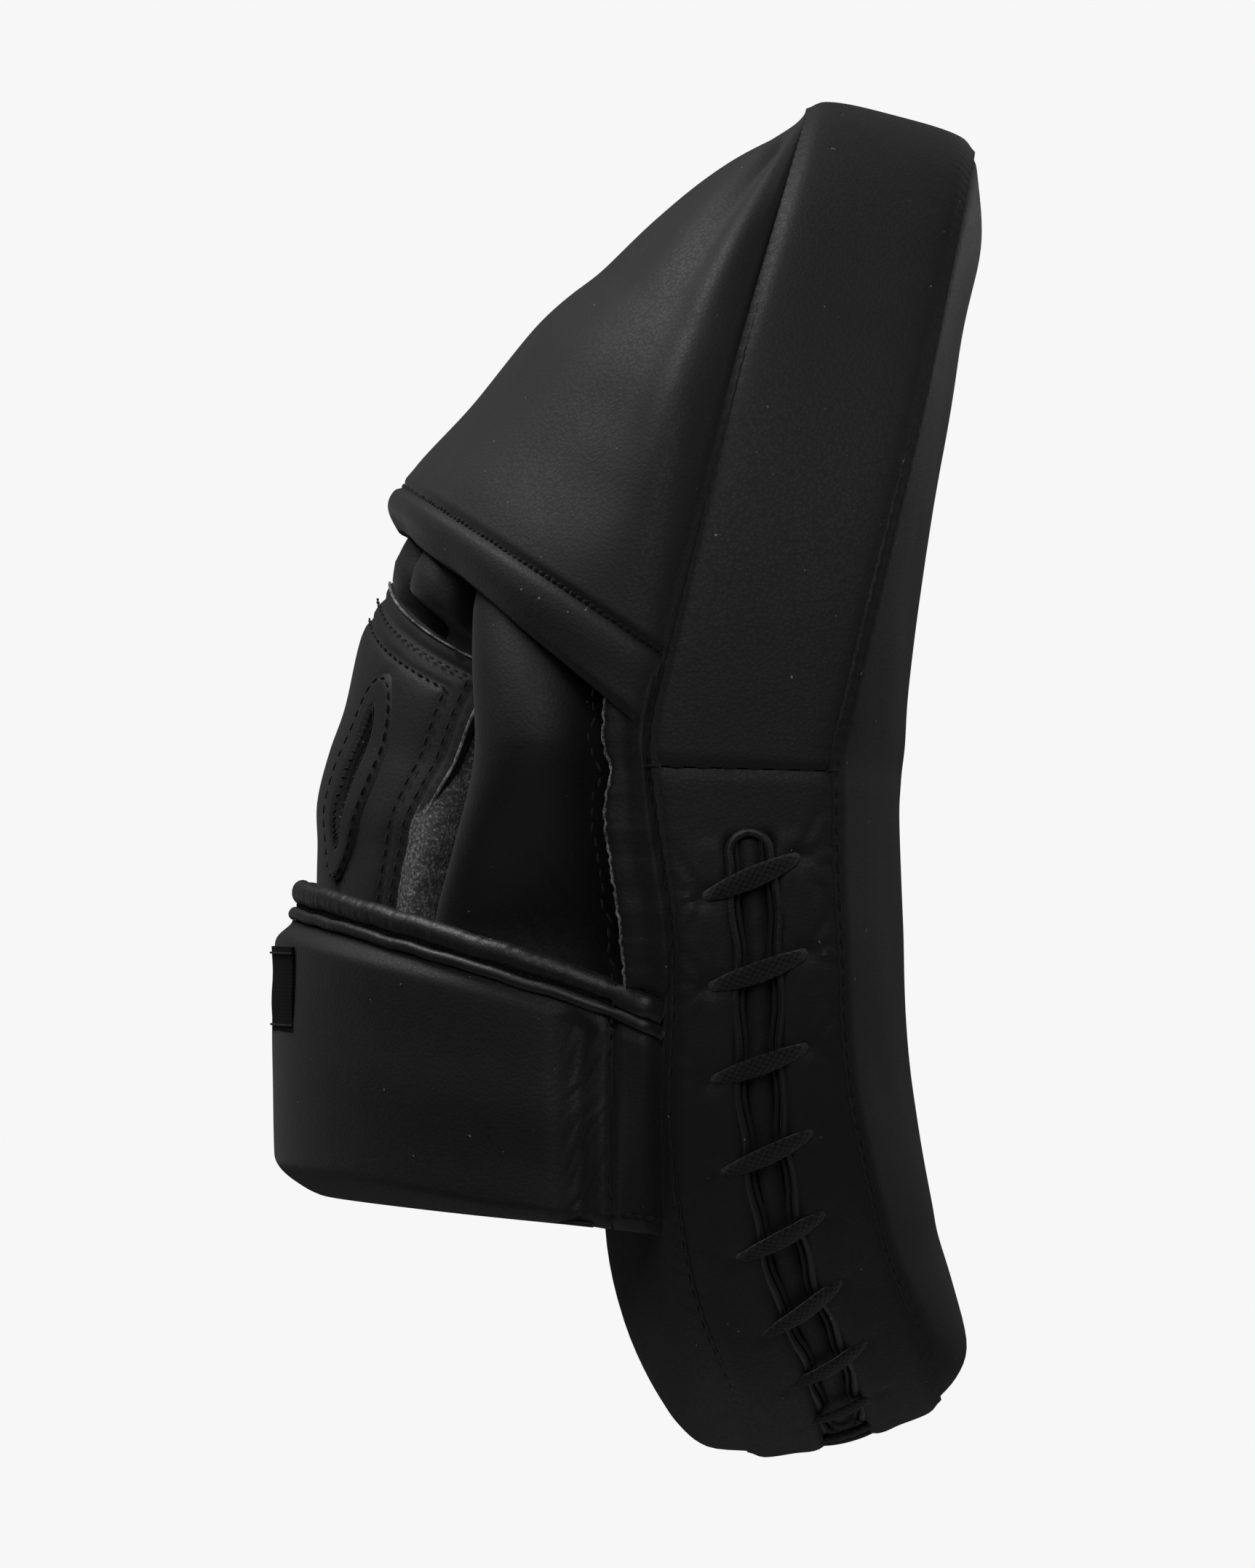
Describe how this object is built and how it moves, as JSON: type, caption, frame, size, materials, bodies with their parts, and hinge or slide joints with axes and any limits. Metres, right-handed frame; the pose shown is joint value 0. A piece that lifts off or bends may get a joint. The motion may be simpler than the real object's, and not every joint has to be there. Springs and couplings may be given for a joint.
{
  "type": "focus mitt",
  "caption": "Curved padded coaching mitt with a laced side wall, finger hood, thumb sleeve and a wrist strap that opens on hook and loop.",
  "frame": {"origin": "middle of the palm of the hand that wears the mitt, behind the pad's back panel", "axes": "+X out of the strike face, +Y away from the thumb side, +Z towards the fingertips"},
  "size_m": [0.1369, 0.1932, 0.2631],
  "materials": {
    "black_leather": "matte microfibre leather, fine grain",
    "rolled_leather": "slightly glossier rolled binding, coarse grain",
    "lining_cloth": "matte woven lining",
    "grey_foam": "open-cell foam, granular cut edge",
    "cotton_lace": "flat braided cotton, fuzzy",
    "tape_nylon": "nylon hook and loop",
    "label_weave": "blank woven label"
  },
  "bodies": {
    "root": {"strike_face_cover": "black_leather", "back_panel": "black_leather", "front_impact_foam": "grey_foam", "middle_foam": "grey_foam", "rear_foam": "grey_foam", "upper_gusset": "black_leather", "lower_gusset": "black_leather", "slot_welt_front": "rolled_leather", "slot_welt_rear": "rolled_leather", "slot_tongue": "lining_cloth", "pad_lace": "cotton_lace", "finger_hood": "black_leather", "finger_hood_lining": "lining_cloth", "index_finger_sleeve": "rolled_leather", "middle_finger_sleeve": "rolled_leather", "ring_finger_sleeve": "rolled_leather", "little_finger_sleeve": "rolled_leather", "palm_cushion": "black_leather", "hand_back_panel": "black_leather", "hand_back_foam": "grey_foam", "hand_back_lining": "lining_cloth", "vent_patch_near": "rolled_leather", "vent_patch_far": "rolled_leather", "thumb_sleeve": "black_leather", "thumb_sleeve_lining": "lining_cloth", "near_flange": "black_leather", "far_side_panel": "black_leather", "cuff_near_flange": "black_leather", "cuff_far_tab": "black_leather", "loop_tape": "tape_nylon"},
    "strap": {"strap_outer": "black_leather", "strap_foam": "grey_foam", "strap_lining": "lining_cloth", "strap_binding_lower": "rolled_leather", "strap_binding_upper": "rolled_leather", "woven_label": "label_weave"},
    "strap_tip": {"strap_end": "black_leather", "hook_tape": "tape_nylon"}
  },
  "joints": [
    {"name": "strap_open", "type": "hinge", "parent": "root", "child": "strap", "pos_m": [-0.00709, -0.08603, 0], "axis": [0, 0, 1], "range_deg": [0, 75]},
    {"name": "strap_peel", "type": "hinge", "parent": "strap", "child": "strap_tip", "pos_m": [-0.04614, 0.0634, 0], "axis": [0, 0, 1], "range_deg": [0, 60]}
  ]
}
